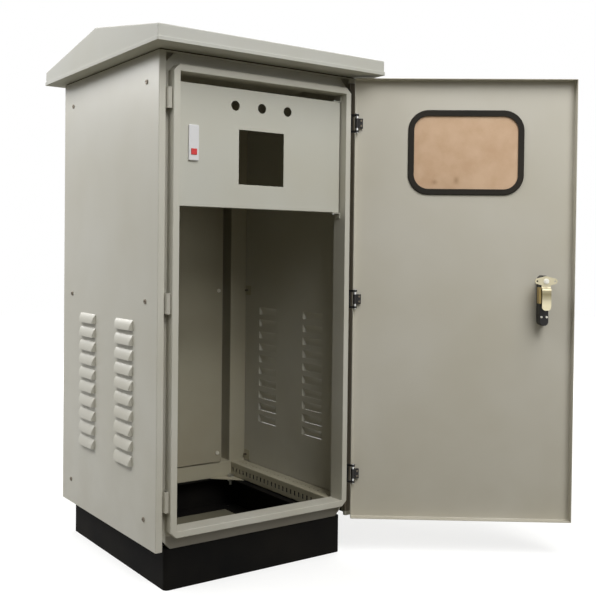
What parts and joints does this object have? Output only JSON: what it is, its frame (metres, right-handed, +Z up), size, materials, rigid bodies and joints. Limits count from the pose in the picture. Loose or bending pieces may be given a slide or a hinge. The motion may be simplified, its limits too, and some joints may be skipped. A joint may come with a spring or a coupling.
{
  "type": "roadside utility cabinet",
  "caption": "Free-standing sheet-steel outdoor cabinet with a gabled rain canopy, louvred sides, an open windowed door, a swing-out instrument panel and a black plinth.",
  "frame": {"origin": "on the ground, below the middle of the cabinet body", "axes": "+X to the right and +Z up, seen from the door side, which faces -Y; +Y to the back"},
  "size_m": [1.116, 1.0305, 1.4035],
  "materials": {
    "powder_coat_grey": "light grey fine-texture powder coat on folded steel sheet",
    "powder_coat_black": "black powder coat",
    "zinc_bright": "bright zinc plate",
    "zinc_black": "black passivated zinc plate",
    "zinc_yellow": "yellow passivated zinc plate",
    "black_diecast": "black coated die-cast zinc",
    "rubber_black": "extruded rubber",
    "acrylic_paper": "acrylic pane with its tan masking paper still on",
    "white_plastic": "white moulded plastic",
    "red_plastic": "red moulded plastic"
  },
  "bodies": {
    "cabinet": {"base_frame": "powder_coat_grey", "canopy": "powder_coat_grey", "canopy_bolts": "zinc_bright", "canopy_seal": "rubber_black", "front_frame": "powder_coat_grey", "gutter_brackets_left": "powder_coat_grey", "gutter_brackets_right": "powder_coat_grey", "hinge_leaf_screws": "zinc_bright", "hinge_leaves": "black_diecast", "hinge_pins": "zinc_bright", "mounting_plate": "powder_coat_grey", "mounting_plate_screws": "zinc_bright", "perforated_rail_left": "powder_coat_grey", "perforated_rail_right": "powder_coat_grey", "pivot_pins": "zinc_bright", "pivot_tabs": "powder_coat_grey", "plate_rails": "powder_coat_grey", "plinth": "powder_coat_black", "plinth_bolts": "zinc_bright", "rear_panel": "powder_coat_grey", "rear_panel_screws": "zinc_black", "rear_post_left": "powder_coat_grey", "rear_post_right": "powder_coat_grey", "side_panel_left": "powder_coat_grey", "side_panel_right": "powder_coat_grey", "side_panel_screws_left": "zinc_black", "side_panel_screws_right": "zinc_black", "top_channel": "powder_coat_grey", "top_plate": "powder_coat_grey"},
    "door": {"door_panel": "powder_coat_grey", "window_gasket": "rubber_black", "window_pane": "acrylic_paper", "hinge_door_blocks": "black_diecast", "hinge_block_screws": "zinc_black", "lock_base": "black_diecast", "lock_housing": "black_diecast", "lock_clamp": "zinc_yellow", "lock_screws": "zinc_bright"},
    "handle": {"lock_spindle": "zinc_bright", "lock_cam": "zinc_yellow", "cam_washer": "zinc_bright", "cam_bolt": "zinc_bright", "lever_pin": "zinc_bright"},
    "lever": {"lock_lever": "black_diecast"},
    "plug": {"lock_plug": "zinc_bright"},
    "swing_panel": {"instrument_panel": "powder_coat_grey", "latch_body": "white_plastic"},
    "button": {"latch_button": "red_plastic"},
    "bolt": {"latch_bolt": "zinc_bright"}
  },
  "joints": [
    {"name": "door_swing", "type": "hinge", "parent": "cabinet", "child": "door", "pos_m": [0.2925, -0.3175, 0.698], "axis": [0, 0, 1], "range_deg": [-143.5, 6.5]},
    {"name": "handle_turn", "type": "hinge", "parent": "door", "child": "handle", "pos_m": [0.71006, -0.60471, 0.754], "axis": [-0.5948, -0.8039, 0], "range_deg": [0, 90]},
    {"name": "lever_lift", "type": "hinge", "parent": "handle", "child": "lever", "pos_m": [0.7153, -0.59764, 0.754], "axis": [0, 0, -1], "range_deg": [0, 30]},
    {"name": "plug_turn", "type": "hinge", "parent": "door", "child": "plug", "pos_m": [0.71006, -0.60471, 0.64], "axis": [-0.5948, -0.8039, 0], "range_deg": [0, 90]},
    {"name": "panel_swing", "type": "hinge", "parent": "cabinet", "child": "swing_panel", "pos_m": [0.236, -0.2875, 1.08], "axis": [0, 0, 1], "range_deg": [0, 95]},
    {"name": "button_press", "type": "slide", "parent": "swing_panel", "child": "button", "axis": [0, 1, 0], "range_m": [0, 0.003], "stiffness_N_per_m": 800, "springref_m": -0.004},
    {"name": "bolt_slide", "type": "slide", "parent": "swing_panel", "child": "bolt", "axis": [1, 0, 0], "range_m": [0, 0.0101]}
  ],
  "couplings": [
    {"joint": "bolt_slide", "follows": "button_press", "ratio": 3.3333}
  ]
}
